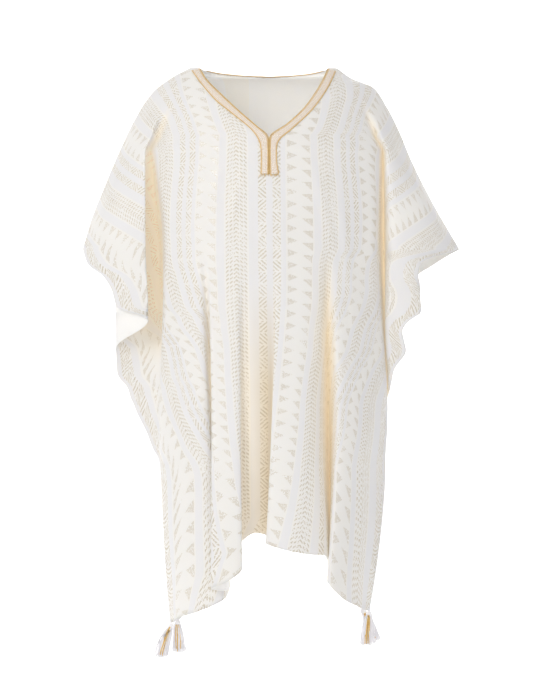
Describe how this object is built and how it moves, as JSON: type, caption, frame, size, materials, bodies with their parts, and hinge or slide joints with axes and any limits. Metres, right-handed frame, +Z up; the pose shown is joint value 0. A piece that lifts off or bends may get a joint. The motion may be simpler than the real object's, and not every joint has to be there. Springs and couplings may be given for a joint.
{
  "type": "kaftan",
  "caption": "Short wide kaftan with a V neck, batwing sleeves of the panels' own width, neck braid with hanging tails and tassels at the hem corners",
  "frame": {"origin": "the holding mount, midway between the shoulders at the height where the neckline meets the shoulder seams", "axes": "+Z up, front of the garment faces -Y, the wearer's left is +X"},
  "size_m": [0.6602, 0.2482, 1.033],
  "materials": {
    "cloth_front": "matte woven cloth with metallic motifs",
    "cloth_back": "matte woven cloth with metallic motifs",
    "braid": "white braid with metallic gold cord edges",
    "tassel": "soft white yarn with gold threads"
  },
  "bodies": {
    "root": {"front_panel": "cloth_front", "back_panel": "cloth_back", "neck_braid_left": "braid", "neck_braid_right": "braid", "neck_braid_back": "braid", "tassel_front_left": "tassel", "tassel_back_left": "tassel", "tassel_front_right": "tassel", "tassel_back_right": "tassel"}
  },
  "joints": []
}
